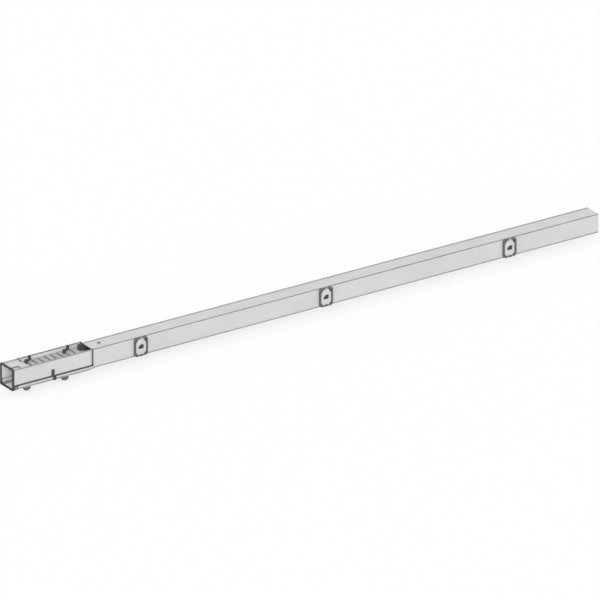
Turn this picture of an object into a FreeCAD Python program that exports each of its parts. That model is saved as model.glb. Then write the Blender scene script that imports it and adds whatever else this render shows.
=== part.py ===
import FreeCAD, Part
import os
import Sketcher

# One length of plug-in busbar trunking: X runs along it, Z is up and the outlets face -Y.
# The origin is on the casing's underside, below the middle outlet.

doc = FreeCAD.newDocument("busway_section")

# Driving dimensions, in millimetres and degrees

driving_sizes = {
    # Casing, from the joint plane at the left to the one at the right
    "stock_length": 3000,
    "casing_width": 92,
    "casing_height": 92,
    "casing_sheet": 1.5,
    "casing_bend": 3,
    "base_flange": 14,
    "wall_inset": 150,
    "mouth_inset": 240,
    "tail_inset": 14,
    "overrun": 1,
    # Busbars and their supports
    "bar_count": 4,
    "bar_width": 34,
    "bar_thick": 4,
    "bar_pitch": 14,
    "bar_edge": 0.8,
    "bar_inset": 62,
    "bar_recess": 4,
    "support_thick": 20,
    "support_slack": 0.25,
    "support_inset": 62,
    "screw_inset": 302,
    "screw_shank": 5,
    "screw_reach": 14,
    "screw_head": 12,
    "screw_head_tall": 3,
    # Outlets
    "outlet_count": 3,
    "outlet_pitch": 1000,
    "outlet_inset": 495,
    "plate_width": 70,
    "plate_height": 91,
    "plate_proud": 10,
    "plate_corner": 14,
    "rim_width": 7,
    "recess_corner": 12,
    "socket_width": 46,
    "socket_height": 60,
    "socket_wall": 2.5,
    "socket_slack": 0.5,
    "socket_back": 19,
    "slot_high": 6,
    "slot_wide": 30,
    "flap_thick": 4,
    "flap_setback": 4,
    "flap_gap": 0.5,
    "pin_size": 2,
    "pin_play": 0.2,
    "pin_grip": 3,
    "latch_width": 26,
    "latch_height": 20,
    "latch_corner": 5,
    "latch_proud": 2,
    # Joint unit at the left end: its sheets stand off the casing by the seals' thickness
    "unit_reach": 184,
    "unit_gap": 2.5,
    "unit_rise": 4.5,
    "plate_sheet": 2,
    "flange_width": 20,
    "tray_sheet": 1.5,
    "tray_drop": 4.5,
    "tray_flange_top": 20,
    "tray_ramp": 33,
    "skirt_level": 12.5,
    "bridge_sheet": 1.5,
    "bridge_gap": 6,
    "mouth_seal_long": 10,
    "mouth_seal_proud": 1.5,
    "mouth_slack": 0.75,
    "end_seal_long": 7,
    "trim_tall": 8,
    "trim_thick": 2,
    # Insulating block between the joint's sheets
    "block_reach": 100,
    "block_gap": 2,
    "deck_thick": 2.5,
    "rib_tall": 5,
    "rib_count": 7,
    "rib_wide": 25,
    "nose_length": 56,
    "nose_slack": 1,
    "nose_rib_count": 2,
    "jaw_sheet": 1.5,
    "jaw_reach": 42,
    "jaw_web": 40,
    "jaw_overlap": 72,
    "jaw_flare": 2,
    # Clamps
    "clamp_left": -86,
    "clamp_right": 118,
    "bolt_size": 8,
    "sleeve_size": 16,
    "sleeve_gap": 0.5,
    "hub_size": 17,
    "hub_rise": 1,
    "hub_tall": 12,
    "lever_reach": 17,
    "lever_rise": 23,
    "lever_elbow": 3,
    "lever_tail": 8,
    "lever_thick": 11,
    "lever_wide": 9,
    "lever_bevel": 2.5,
    "knob_size": 38,
    "knob_neck": 18,
    "knob_tip": 24,
    "knob_neck_tall": 15,
    "knob_rim_tall": 13,
    "knob_tall": 37,
    # Side latches
    "clip_place": 15,
    "clip_width": 15,
    "clip_step": 10,
    "clip_top": 49,
    "clip_sheet": 2.5,
}

sizes = doc.addObject("Spreadsheet::Sheet", "sizes")
for row, (alias, value) in enumerate(driving_sizes.items(), start=1):
    sizes.set(f"A{row}", alias)
    sizes.set(f"B{row}", str(value))
    sizes.setAlias(f"B{row}", alias)
doc.recompute()

# Shared places, as expressions on the sheet
half_width = "(sizes.casing_width / 2)"
half_height = "(sizes.casing_height / 2)"
left = "(-sizes.outlet_inset - (sizes.outlet_count - 1) / 2 * sizes.outlet_pitch)"
right = f"({left} + sizes.stock_length)"
wall_start = f"({left} + sizes.wall_inset)"
mouth = f"({left} + sizes.mouth_inset)"
tail = f"({right} - sizes.tail_inset)"
first_bar = f"({half_height} - (sizes.bar_count - 1) / 2 * sizes.bar_pitch)"
last_bar = f"({half_height} + (sizes.bar_count - 1) / 2 * sizes.bar_pitch)"

# Joint unit's sheets, counted from the middle plane and the casing's underside
unit_start = f"({left} - sizes.unit_reach)"
unit_end = f"({mouth} - sizes.end_seal_long)"
plate_inner = f"({half_width} + sizes.unit_gap)"
plate_outer = f"({plate_inner} + sizes.plate_sheet)"
unit_top = "(sizes.casing_height + sizes.unit_rise)"
tray_floor = "(sizes.tray_sheet - sizes.tray_drop)"
trim_top = "(sizes.skirt_level + sizes.trim_tall)"
bridge_end = f"({left} + sizes.clamp_left - sizes.hub_size / 2 - sizes.bridge_gap)"
block_start = f"({left} - sizes.block_reach)"
block_end = f"({wall_start} - sizes.block_gap)"
block_top = f"({last_bar} + sizes.bar_thick / 2 + sizes.jaw_sheet)"
deck = f"({block_top} + sizes.deck_thick)"
nose_width = "(sizes.casing_width - 2 * sizes.casing_sheet - 2 * sizes.nose_slack)"

subparts = []


def amount(expression):
    """Return the present value of an expression on the sheet."""
    return float(sizes.evalExpression(expression))


def new_body(label):
    body = doc.addObject("PartDesign::Body", label)
    body.Label = label
    subparts.append(body)
    return body


def origin_plane(body, role):
    return next(item for item in body.Origin.OriginFeatures if item.Role == role)


def new_sketch(body, role, name, offset="0"):
    """Lay a sketch on one of the body's own planes, moved along that plane's normal."""
    sketch = body.newObject("Sketcher::SketchObject", name)
    sketch.AttachmentSupport = [(origin_plane(body, role), "")]
    sketch.MapMode = "FlatFace"
    sketch.setExpression("AttachmentOffset.Base.z", offset)
    return sketch


def pin_point(sketch, geometry, position, across, up):
    """Hold one point of a sketch at two expressions, measured from the sketch's origin."""
    for kind, expression in (("DistanceX", across), ("DistanceY", up)):
        held = Sketcher.Constraint(kind, -1, 1, geometry, position, amount(expression))
        number = sketch.addConstraint(held)
        sketch.setExpression(f"Constraints[{number}]", expression)


def add_polygon(sketch, corners):
    first = sketch.GeometryCount
    points = [FreeCAD.Vector(amount(across), amount(up), 0) for across, up in corners]
    for number, point in enumerate(points):
        sketch.addGeometry(Part.LineSegment(point, points[(number + 1) % len(points)]), False)
    for number in range(len(points)):
        following = first + (number + 1) % len(points)
        sketch.addConstraint(Sketcher.Constraint("Coincident", first + number, 2, following, 1))
    for number, (across, up) in enumerate(corners):
        pin_point(sketch, first + number, 1, across, up)
    return sketch


def add_rectangle(sketch, low, high):
    return add_polygon(sketch, [low, (high[0], low[1]), high, (low[0], high[1])])


def add_square(sketch, centre, side):
    half = f"({side}) / 2"
    return add_rectangle(sketch, (f"{centre[0]} - {half}", f"{centre[1]} - {half}"),
                         (f"{centre[0]} + {half}", f"{centre[1]} + {half}"))


def add_circle(sketch, centre, diameter):
    middle = FreeCAD.Vector(amount(centre[0]), amount(centre[1]), 0)
    upward = FreeCAD.Vector(0, 0, 1)
    number = sketch.addGeometry(Part.Circle(middle, upward, amount(diameter) / 2), False)
    pin_point(sketch, number, 3, *centre)
    held = Sketcher.Constraint("Diameter", number, amount(diameter))
    size = sketch.addConstraint(held)
    sketch.setExpression(f"Constraints[{size}]", diameter)
    return sketch


def add_pad(body, sketch, name, length, both_ways=False, backwards=False):
    pad = body.newObject("PartDesign::Pad", name)
    pad.Profile = sketch
    pad.Midplane = both_ways
    pad.Reversed = backwards
    pad.setExpression("Length", length)
    doc.recompute()
    return pad


def add_pocket(body, sketch, name, length, both_ways=False, backwards=False):
    """Cut a sketch out of the body, and make sure that something was cut."""
    before = body.Shape.Volume
    pocket = body.newObject("PartDesign::Pocket", name)
    pocket.Profile = sketch
    pocket.Midplane = both_ways
    pocket.Reversed = backwards
    pocket.setExpression("Length", length)
    doc.recompute()
    if body.Shape.Volume > before - 0.01:
        raise RuntimeError(f"{body.Label}: {name} cuts nothing")
    return pocket


def dress_edges(body, kind, size_name, name, size, wanted):
    """Round or bevel every edge of the body that the test picks."""
    base = body.Tip
    edges = enumerate(base.Shape.Edges, start=1)
    picked = [f"Edge{number}" for number, edge in edges if wanted(edge)]
    dressed = body.newObject(kind, name)
    dressed.Base = (base, picked)
    dressed.setExpression(size_name, size)
    doc.recompute()
    return dressed


def add_fillet(body, name, radius, wanted):
    return dress_edges(body, "PartDesign::Fillet", "Radius", name, radius, wanted)


def add_chamfer(body, name, size, wanted):
    return dress_edges(body, "PartDesign::Chamfer", "Size", name, size, wanted)


def add_row(body, feature, name, count, length):
    """Repeat a feature along X."""
    pattern = body.newObject("PartDesign::LinearPattern", name)
    pattern.Originals = [feature]
    pattern.Direction = (origin_plane(body, "X_Axis"), [""])
    pattern.setExpression("Occurrences", count)
    pattern.setExpression("Length", length)
    body.Tip = pattern
    doc.recompute()
    return pattern


def runs_along(edge, axis):
    """Tell whether an edge is a straight line along one axis."""
    if edge.Curve.TypeId != "Part::GeomLine":
        return False
    return abs(edge.tangentAt(edge.FirstParameter).dot(axis)) > 0.999


def lies_at(value, place):
    return abs(value - amount(place)) < 0.01


along_x = FreeCAD.Vector(1, 0, 0)
along_y = FreeCAD.Vector(0, 1, 0)


# Casing: two folded sheets

def make_casing_cover():
    body = new_body("casing_cover")
    sketch = new_sketch(body, "YZ_Plane", "cover_section", wall_start)
    inner = f"({half_width} - sizes.casing_sheet)"
    roof = "(sizes.casing_height - sizes.casing_sheet)"
    top = "sizes.casing_height"
    add_polygon(sketch, [
        (f"-{half_width}", "0"), (f"-{half_width}", top), (half_width, top), (half_width, "0"),
        (inner, "0"), (inner, roof), (f"-{inner}", roof), (f"-{inner}", "0"),
    ])
    add_pad(body, sketch, "cover_run", f"{tail} - {wall_start}")
    add_fillet(body, "cover_bends", "sizes.casing_bend",
               lambda edge: runs_along(edge, along_x) and lies_at(edge.BoundBox.ZMin, top))
    add_fillet(body, "cover_inner_bends", "sizes.casing_bend - sizes.casing_sheet",
               lambda edge: runs_along(edge, along_x) and lies_at(edge.BoundBox.ZMin, roof)
               and lies_at(abs(edge.BoundBox.YMin), inner))

    # The top sheet is cut back over the joint, where only the side walls run on
    sketch = new_sketch(body, "XY_Plane", "top_cut_back", "sizes.casing_height + sizes.overrun")
    side = f"({half_width} + sizes.overrun)"
    add_rectangle(sketch, (f"{wall_start} - sizes.overrun", f"-{side}"), (mouth, side))
    add_pocket(body, sketch, "top_cut", "sizes.casing_bend + sizes.overrun")

    # Outlet cut-outs in the front wall
    sketch = new_sketch(body, "XZ_Plane", "outlet_cut_out", f"{half_width} + sizes.overrun")
    reach = "(sizes.socket_width / 2 + sizes.socket_slack)"
    rise = "(sizes.socket_height / 2 + sizes.socket_slack)"
    first = outlet_place(0)
    add_rectangle(sketch, (f"{first} - {reach}", f"{half_height} - {rise}"),
                  (f"{first} + {reach}", f"{half_height} + {rise}"))
    opening = add_pocket(body, sketch, "outlet_opening", "sizes.casing_sheet + 2 * sizes.overrun")
    add_row(body, opening, "outlet_openings", "sizes.outlet_count",
            "(sizes.outlet_count - 1) * sizes.outlet_pitch")

    sketch = new_sketch(body, "XY_Plane", "screw_hole", "sizes.casing_height + sizes.overrun")
    add_circle(sketch, (f"{left} + sizes.screw_inset", "0"), "sizes.screw_shank")
    add_pocket(body, sketch, "screw_clearance", "sizes.casing_sheet + 2 * sizes.overrun")


def make_casing_base():
    body = new_body("casing_base")
    sketch = new_sketch(body, "YZ_Plane", "base_section", mouth)
    outer = f"({half_width} - sizes.casing_sheet)"
    inner = f"({half_width} - 2 * sizes.casing_sheet)"
    add_polygon(sketch, [
        (f"-{outer}", "0"), (outer, "0"), (outer, "sizes.base_flange"),
        (inner, "sizes.base_flange"), (inner, "sizes.casing_sheet"),
        (f"-{inner}", "sizes.casing_sheet"), (f"-{inner}", "sizes.base_flange"),
        (f"-{outer}", "sizes.base_flange"),
    ])
    add_pad(body, sketch, "base_run", f"{tail} - {mouth}")
    add_fillet(body, "base_bends", "sizes.casing_bend",
               lambda edge: runs_along(edge, along_x) and lies_at(edge.BoundBox.ZMax, "0"))


# Busbars and the combs that hold them

def bar_level(number):
    return f"({first_bar} + {number} * sizes.bar_pitch)"


def make_busbar(number):
    body = new_body(f"busbar_{number + 1}")
    start = f"({left} + sizes.bar_inset)"
    sketch = new_sketch(body, "YZ_Plane", f"bar_section_{number + 1}", start)
    level = bar_level(number)
    add_rectangle(sketch, ("-sizes.bar_width / 2", f"{level} - sizes.bar_thick / 2"),
                  ("sizes.bar_width / 2", f"{level} + sizes.bar_thick / 2"))
    add_pad(body, sketch, f"bar_run_{number + 1}", f"{tail} - sizes.bar_recess - {start}")
    add_chamfer(body, f"bar_edges_{number + 1}", "sizes.bar_edge",
                lambda edge: runs_along(edge, along_x))
    sketch = new_sketch(body, "XY_Plane", f"bar_hole_{number + 1}", f"{level} + sizes.bar_thick")
    add_square(sketch, (f"{left} + sizes.clamp_right", "0"), "sizes.sleeve_size + sizes.sleeve_gap")
    add_pocket(body, sketch, f"bar_bore_{number + 1}", "2 * sizes.bar_thick")


def make_bar_support(number, place):
    body = new_body(f"bar_support_{number}")
    start = f"({place} - sizes.support_thick / 2)"
    sketch = new_sketch(body, "YZ_Plane", f"support_section_{number}", start)
    outer = f"({half_width} - sizes.casing_sheet)"
    inner = f"({half_width} - 2 * sizes.casing_sheet)"
    foot = "(sizes.base_flange + sizes.overrun)"
    top = "(sizes.casing_height - sizes.casing_sheet)"
    nick = "(sizes.casing_bend - sizes.casing_sheet)"
    add_polygon(sketch, [
        (f"-{inner}", "sizes.casing_sheet"), (inner, "sizes.casing_sheet"), (inner, foot),
        (outer, foot), (outer, f"{top} - {nick}"), (f"{outer} - {nick}", top),
        (f"-{outer} + {nick}", top), (f"-{outer}", f"{top} - {nick}"), (f"-{outer}", foot),
        (f"-{inner}", foot),
    ])
    add_pad(body, sketch, f"support_plate_{number}", "sizes.support_thick")

    sketch = new_sketch(body, "YZ_Plane", f"bar_slots_{number}", start)
    reach = "(sizes.bar_width / 2 + sizes.support_slack)"
    rise = "(sizes.bar_thick / 2)"
    for bar in range(int(amount("sizes.bar_count"))):
        add_rectangle(sketch, (f"-{reach}", f"{bar_level(bar)} - {rise}"),
                      (reach, f"{bar_level(bar)} + {rise}"))
    add_pocket(body, sketch, f"bar_passage_{number}", "sizes.support_thick", backwards=True)
    return body


def make_cover_screw(support):
    """Make the screw in the casing's top, and its hole in the support below."""
    place = f"{left} + sizes.screw_inset"
    sketch = new_sketch(support, "XY_Plane", "screw_thread", "sizes.casing_height")
    add_circle(sketch, (place, "0"), "sizes.screw_shank")
    add_pocket(support, sketch, "screw_seat", "sizes.screw_reach + sizes.overrun")

    body = new_body("cover_screw")
    sketch = new_sketch(body, "XY_Plane", "screw_head_circle", "sizes.casing_height")
    add_circle(sketch, (place, "0"), "sizes.screw_head")
    add_pad(body, sketch, "screw_head_disc", "sizes.screw_head_tall")
    sketch = new_sketch(body, "XY_Plane", "screw_shank_circle", "sizes.casing_height")
    add_circle(sketch, (place, "0"), "sizes.screw_shank")
    add_pad(body, sketch, "screw_shank_rod", "sizes.screw_reach", backwards=True)


# Outlets: a flap hangs on a pin in the frame's recess, and swings out of it

plate_face = f"({half_width} + sizes.plate_proud)"
recess_deep = "(sizes.flap_setback + sizes.flap_thick + sizes.flap_gap)"
recess_side = "(sizes.plate_width / 2 - sizes.rim_width)"
recess_rise = "(sizes.plate_height / 2 - sizes.rim_width)"
pin_level = f"({half_height} + {recess_rise} - sizes.flap_gap - sizes.flap_thick / 2)"
pin_depth = f"({plate_face} - sizes.flap_setback - sizes.flap_thick / 2)"
pin_length = f"(2 * {recess_side} + 2 * sizes.pin_grip)"
neck_side = f"({recess_side} - sizes.recess_corner)"


def outlet_place(number):
    return f"(({number} - (sizes.outlet_count - 1) / 2) * sizes.outlet_pitch)"


def add_centred_rectangle(sketch, side, rise):
    """Draw a rectangle about the middle of the casing's front."""
    return add_rectangle(sketch, (f"-{side}", f"{half_height} - {rise}"),
                         (side, f"{half_height} + {rise}"))


def make_outlet_frame(number):
    body = new_body(f"outlet_frame_{number + 1}")
    body.setExpression("Placement.Base.x", outlet_place(number))
    tag = f"_{number + 1}"

    sketch = new_sketch(body, "XZ_Plane", "frame_outline" + tag, half_width)
    add_centred_rectangle(sketch, "(sizes.plate_width / 2)", "(sizes.plate_height / 2)")
    add_pad(body, sketch, "frame_plate" + tag, "sizes.plate_proud")
    add_fillet(body, "frame_corners" + tag, "sizes.plate_corner",
               lambda edge: runs_along(edge, along_y))

    sketch = new_sketch(body, "XZ_Plane", "socket_outline" + tag, half_width)
    add_centred_rectangle(sketch, "(sizes.socket_width / 2)", "(sizes.socket_height / 2)")
    add_pad(body, sketch, "socket_body" + tag, f"{half_width} - sizes.socket_back",
            backwards=True)

    # Recess for the flap, with round corners inside the frame's own
    sketch = new_sketch(body, "XZ_Plane", "recess_outline" + tag, plate_face)
    add_centred_rectangle(sketch, recess_side, recess_rise)
    add_pocket(body, sketch, "flap_recess" + tag, recess_deep)
    add_fillet(body, "recess_corners" + tag, "sizes.recess_corner",
               lambda edge: runs_along(edge, along_y) and lies_at(abs(edge.BoundBox.XMin), recess_side))

    # Socket well, down to the floor that has the contact slots
    sketch = new_sketch(body, "XZ_Plane", "well_outline" + tag, plate_face)
    add_centred_rectangle(sketch, "(sizes.socket_width / 2 - sizes.socket_wall)",
                          "(sizes.socket_height / 2 - sizes.socket_wall)")
    add_pocket(body, sketch, "socket_well" + tag,
               f"{plate_face} - sizes.socket_back - sizes.socket_wall")

    sketch = new_sketch(body, "XZ_Plane", "contact_slots" + tag,
                        "sizes.socket_back + 2 * sizes.socket_wall")
    for bar in range(int(amount("sizes.bar_count"))):
        add_rectangle(sketch, ("-sizes.slot_wide / 2", f"{bar_level(bar)} - sizes.slot_high / 2"),
                      ("sizes.slot_wide / 2", f"{bar_level(bar)} + sizes.slot_high / 2"))
    add_pocket(body, sketch, "contact_openings" + tag, "3 * sizes.socket_wall")

    # Hole for the flap's pin, blind in both sides of the rim
    sketch = new_sketch(body, "YZ_Plane", "pin_hole" + tag, "0")
    add_circle(sketch, (f"-{pin_depth}", pin_level), "sizes.pin_size")
    add_pocket(body, sketch, "pin_seat" + tag, pin_length, both_ways=True)


def make_outlet_pin(number):
    body = new_body(f"outlet_pin_{number + 1}")
    body.setExpression("Placement.Base.x", outlet_place(number))
    sketch = new_sketch(body, "YZ_Plane", f"pin_circle_{number + 1}", "0")
    add_circle(sketch, (f"-{pin_depth}", pin_level), "sizes.pin_size")
    add_pad(body, sketch, f"pin_rod_{number + 1}", pin_length, both_ways=True)


def make_outlet_flap(number):
    """Make a flap whose neck carries a round knuckle and is long enough to clear the rim."""
    body = new_body(f"outlet_flap_{number + 1}")
    body.setExpression("Placement.Base.x", outlet_place(number))
    tag = f"_{number + 1}"
    side = f"({recess_side} - sizes.flap_gap)"
    corner = f"({side} - {neck_side})"
    low = f"({half_height} - {recess_rise} + sizes.flap_gap)"
    shoulder = (f"({pin_level} - sizes.flap_setback - sizes.flap_thick / 2"
                " - 2 * sizes.flap_gap)")
    sketch = new_sketch(body, "XZ_Plane", "flap_outline" + tag,
                        f"{plate_face} - sizes.flap_setback")
    add_polygon(sketch, [
        (f"-{side} + {corner}", low), (f"{side} - {corner}", low),
        (side, f"{low} + {corner}"), (side, f"{shoulder} - {corner}"),
        (neck_side, shoulder), (neck_side, pin_level),
        (f"-{neck_side}", pin_level), (f"-{neck_side}", shoulder),
        (f"-{side}", f"{shoulder} - {corner}"), (f"-{side}", f"{low} + {corner}"),
    ])
    add_pad(body, sketch, "flap_panel" + tag, "sizes.flap_thick", backwards=True)
    sketch = new_sketch(body, "YZ_Plane", "knuckle_circle" + tag, "0")
    add_circle(sketch, (f"-{pin_depth}", pin_level), "sizes.flap_thick")
    add_pad(body, sketch, "flap_knuckle" + tag, f"2 * {neck_side}", both_ways=True)
    sketch = new_sketch(body, "YZ_Plane", "knuckle_bore" + tag, "0")
    add_circle(sketch, (f"-{pin_depth}", pin_level), "sizes.pin_size + 2 * sizes.pin_play")
    add_pocket(body, sketch, "flap_bore" + tag, "sizes.plate_width", both_ways=True)


def make_outlet_latch(number):
    """Make the dark quarter-turn latch in the middle of a flap."""
    body = new_body(f"outlet_latch_{number + 1}")
    body.setExpression("Placement.Base.x", outlet_place(number))
    tag = f"_{number + 1}"
    sketch = new_sketch(body, "XZ_Plane", "latch_outline" + tag,
                        f"{plate_face} - sizes.flap_setback")
    add_centred_rectangle(sketch, "(sizes.latch_width / 2)", "(sizes.latch_height / 2)")
    add_pad(body, sketch, "latch_block" + tag, "sizes.latch_proud")
    add_fillet(body, "latch_corners" + tag, "sizes.latch_corner",
               lambda edge: runs_along(edge, along_y))


# Joint unit: sheets that wrap the two casings' ends

def make_side_plate(label, offset, backwards):
    """Make a side plate whose top is folded inwards over the bridge."""
    body = new_body(label)
    sketch = new_sketch(body, "XZ_Plane", label + "_outline", offset)
    add_rectangle(sketch, (unit_start, "sizes.skirt_level"), (unit_end, unit_top))
    add_pad(body, sketch, label + "_sheet", "sizes.plate_sheet", backwards=backwards)
    sketch = new_sketch(body, "XZ_Plane", label + "_fold", offset)
    add_rectangle(sketch, (unit_start, f"{unit_top} - sizes.plate_sheet"), (bridge_end, unit_top))
    add_pad(body, sketch, label + "_flange", "sizes.flange_width", backwards=backwards)


def make_bottom_cover():
    """Make the tray, which rises to the casing's underside at its right end."""
    body = new_body("bottom_cover")
    ramp = f"({mouth} - sizes.tray_ramp)"
    sketch = new_sketch(body, "XZ_Plane", "tray_outline")
    add_polygon(sketch, [
        (unit_start, "-sizes.tray_drop"), (ramp, "-sizes.tray_drop"), (mouth, "-sizes.tray_sheet"),
        (mouth, "sizes.tray_flange_top"), (unit_start, "sizes.tray_flange_top"),
    ])
    add_pad(body, sketch, "tray_block", f"2 * {plate_inner}", both_ways=True)
    sketch = new_sketch(body, "XZ_Plane", "tray_hollow_outline")
    before = f"({unit_start} - sizes.overrun)"
    beyond = f"({mouth} + sizes.overrun)"
    above = "(sizes.tray_flange_top + sizes.overrun)"
    add_polygon(sketch, [
        (before, tray_floor), (ramp, tray_floor), (mouth, "0"), (beyond, "0"), (beyond, above),
        (before, above),
    ])
    add_pocket(body, sketch, "tray_hollow", f"2 * ({plate_inner} - sizes.tray_sheet)",
               both_ways=True)
    for side in ("left", "right"):
        sketch = new_sketch(body, "XY_Plane", f"tray_hole_{side}", tray_floor)
        add_circle(sketch, (f"{left} + sizes.clamp_{side}", "0"), "sizes.bolt_size")
        add_pocket(body, sketch, f"tray_bore_{side}", "sizes.tray_sheet + sizes.overrun")


def make_bridge_plate():
    body = new_body("bridge_plate")
    top = f"({unit_top} - sizes.plate_sheet)"
    sketch = new_sketch(body, "XY_Plane", "bridge_outline", f"{top} - sizes.bridge_sheet")
    add_rectangle(sketch, (unit_start, f"-{plate_inner}"), (bridge_end, plate_inner))
    add_pad(body, sketch, "bridge_sheet", "sizes.bridge_sheet")


def make_mouth_seal():
    """Make the collar round the open end, with a clear opening for the next casing."""
    body = new_body("mouth_seal")
    start = f"({unit_start} - sizes.mouth_seal_long)"
    side = f"({plate_outer} + sizes.mouth_seal_proud)"
    sketch = new_sketch(body, "YZ_Plane", "collar_outline", start)
    add_rectangle(sketch, (f"-{side}", "-sizes.tray_drop - sizes.mouth_seal_proud"),
                  (side, f"{unit_top} + sizes.mouth_seal_proud"))
    add_pad(body, sketch, "collar", "sizes.mouth_seal_long")
    add_fillet(body, "collar_corners", "sizes.casing_bend", lambda edge: runs_along(edge, along_x))
    clear = f"({half_width} + sizes.mouth_slack)"
    sketch = new_sketch(body, "YZ_Plane", "collar_opening", start)
    add_rectangle(sketch, (f"-{clear}", "-sizes.mouth_slack"),
                  (clear, "sizes.casing_height + sizes.mouth_slack"))
    add_pocket(body, sketch, "collar_passage", "sizes.mouth_seal_long", backwards=True)


def make_end_seal(label, outwards):
    """Make the seal between a side plate's right end and the casing's wall."""
    body = new_body(label)
    sketch = new_sketch(body, "YZ_Plane", label + "_section", unit_end)
    add_polygon(sketch, [
        (f"{outwards} * {half_width}", "sizes.tray_flange_top"),
        (f"{outwards} * {plate_inner}", "sizes.tray_flange_top"),
        (f"{outwards} * {plate_inner}", "sizes.skirt_level"),
        (f"{outwards} * {plate_outer}", "sizes.skirt_level"),
        (f"{outwards} * {plate_outer}", unit_top), (f"{outwards} * {half_width}", unit_top),
    ])
    add_pad(body, sketch, label + "_strip", "sizes.end_seal_long")


def make_trim(label, offset, backwards):
    """Make the edging strip along a side plate's lower edge."""
    body = new_body(label)
    sketch = new_sketch(body, "XZ_Plane", label + "_outline", offset)
    add_rectangle(sketch, (unit_start, "sizes.skirt_level"), (mouth, trim_top))
    add_pad(body, sketch, label + "_strip", "sizes.trim_thick", backwards=backwards)


def make_joint_block():
    """Make the insulating block, which has a slot for each jaw and a sleeve for each bolt."""
    body = new_body("joint_block")
    sketch = new_sketch(body, "XZ_Plane", "block_outline")
    add_rectangle(sketch, (block_start, tray_floor), (block_end, block_top))
    add_pad(body, sketch, "block_body", "sizes.casing_width", both_ways=True)

    # The nose runs on between the casing's side walls
    sketch = new_sketch(body, "XZ_Plane", "nose_outline")
    add_rectangle(sketch, (block_end, "sizes.nose_slack"),
                  (f"{block_end} + sizes.nose_length", block_top))
    add_pad(body, sketch, "block_nose", nose_width, both_ways=True)

    # Slots for the jaws, all the way through; the deck closes the highest
    sketch = new_sketch(body, "YZ_Plane", "jaw_slots", block_start)
    rise = "(sizes.bar_thick / 2 + sizes.jaw_sheet)"
    for bar in range(int(amount("sizes.bar_count"))):
        add_rectangle(sketch, ("-sizes.bar_width / 2", f"{bar_level(bar)} - {rise}"),
                      ("sizes.bar_width / 2", f"{bar_level(bar)} + {rise}"))
    add_pocket(body, sketch, "jaw_passages", f"{block_end} + sizes.nose_length - {block_start}",
               backwards=True)

    # Square insulating sleeves stand through the slots, and the bolts run down inside them
    for side in ("left", "right"):
        place = (f"{left} + sizes.clamp_{side}", "0")
        sketch = new_sketch(body, "XY_Plane", f"sleeve_outline_{side}", tray_floor)
        add_square(sketch, place, "sizes.sleeve_size")
        add_pad(body, sketch, f"sleeve_{side}", f"{block_top} - {tray_floor}")
        sketch = new_sketch(body, "XY_Plane", f"bolt_circle_{side}", tray_floor)
        add_circle(sketch, place, "sizes.bolt_size")
        add_pocket(body, sketch, f"bolt_bore_{side}", "sizes.casing_height", backwards=True)


def make_joint_deck():
    """Make the ribbed lid of the block, with a hole for each bolt."""
    body = new_body("joint_deck")
    nose_end = f"({block_end} + sizes.nose_length)"
    sketch = new_sketch(body, "XZ_Plane", "deck_outline")
    add_rectangle(sketch, (block_start, block_top), (block_end, deck))
    add_pad(body, sketch, "deck_sheet", "sizes.casing_width", both_ways=True)
    sketch = new_sketch(body, "XZ_Plane", "nose_deck_outline")
    add_rectangle(sketch, (block_end, block_top), (nose_end, deck))
    add_pad(body, sketch, "nose_deck_sheet", nose_width, both_ways=True)

    # One even row of broad ribs: the first and the last carry the clamps, two more stand on the nose
    rib_top = f"({deck} + sizes.rib_tall)"
    first = f"({left} + sizes.clamp_left - sizes.rib_wide / 2)"
    row = "(sizes.clamp_right - sizes.clamp_left)"
    pitch = f"({row} / (sizes.rib_count - 1))"
    sketch = new_sketch(body, "XZ_Plane", "rib_outline")
    add_rectangle(sketch, (first, deck), (f"{first} + sizes.rib_wide", rib_top))
    rib = add_pad(body, sketch, "rib", "sizes.casing_width", both_ways=True)
    add_row(body, rib, "ribs", "sizes.rib_count", row)
    first = f"({left} + sizes.clamp_right + {pitch} - sizes.rib_wide / 2)"
    sketch = new_sketch(body, "XZ_Plane", "nose_rib_outline")
    add_rectangle(sketch, (first, deck), (f"{first} + sizes.rib_wide", rib_top))
    rib = add_pad(body, sketch, "nose_rib", nose_width, both_ways=True)
    add_row(body, rib, "nose_ribs", "sizes.nose_rib_count", f"(sizes.nose_rib_count - 1) * {pitch}")

    for side in ("left", "right"):
        sketch = new_sketch(body, "XY_Plane", f"deck_hole_{side}", block_top)
        add_circle(sketch, (f"{left} + sizes.clamp_{side}", "0"), "sizes.bolt_size")
        add_pocket(body, sketch, f"deck_bore_{side}", "sizes.casing_height", backwards=True)


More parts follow.
